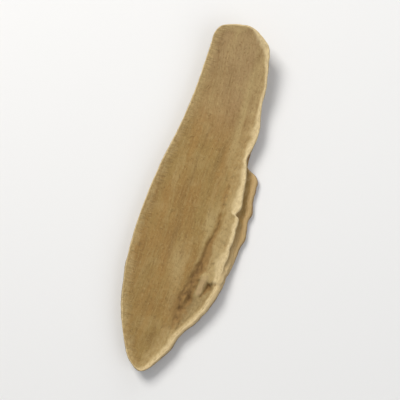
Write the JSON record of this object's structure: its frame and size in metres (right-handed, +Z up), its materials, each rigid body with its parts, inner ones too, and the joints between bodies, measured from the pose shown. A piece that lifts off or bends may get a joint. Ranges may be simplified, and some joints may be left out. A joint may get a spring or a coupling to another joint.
{
  "type": "dried reishi mushroom slice",
  "caption": "Long flat slice of dried bracket fungus with a pointed tip, a blunt curled end, a notched crust edge and a split beside it.",
  "frame": {"origin": "middle of the slice's bounding box, on the surface that it lies on", "axes": "+Z up from the surface, +Y along the slice from its pointed tip to its blunt end, +X towards its notched crust side"},
  "size_m": [0.0232, 0.0762, 0.0067],
  "materials": {
    "dried_flesh": "dry matt cork-like cut flesh with pale rims"
  },
  "bodies": {
    "root": {"slice": "dried_flesh"}
  },
  "joints": []
}
